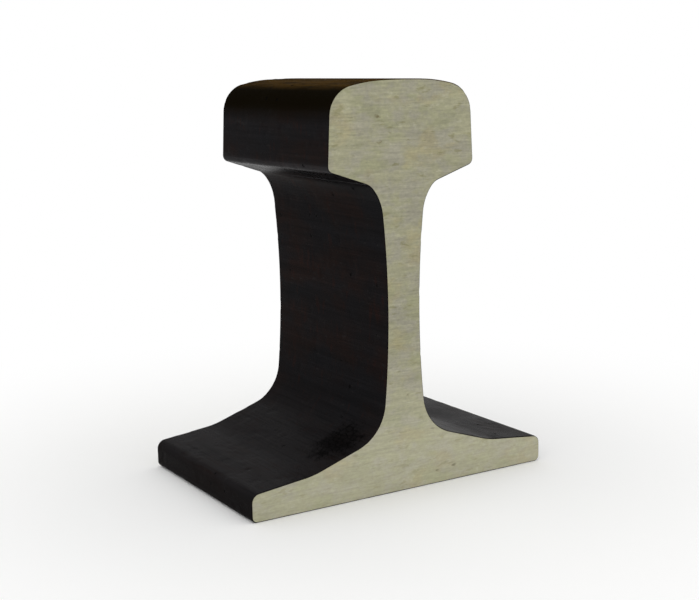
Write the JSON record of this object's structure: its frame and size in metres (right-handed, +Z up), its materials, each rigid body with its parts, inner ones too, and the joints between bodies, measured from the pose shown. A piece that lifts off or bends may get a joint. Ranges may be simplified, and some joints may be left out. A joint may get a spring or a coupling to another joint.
{
  "type": "flat-bottom steel rail",
  "caption": "Short sawn length of flat-bottom steel rail, with a broad rounded head, a hollow-sided web and a wide sloping foot.",
  "frame": {"origin": "the centre of the foot's underside, midway between the two sawn ends", "axes": "+Z up from foot to crown, +Y along the rolled length, +X across the foot"},
  "size_m": [0.15, 0.0936, 0.176],
  "materials": {
    "rolled_steel": "black mill scale on the rolled sides, olive-grey sawn ends"
  },
  "bodies": {
    "root": {"rail": "rolled_steel"}
  },
  "joints": []
}
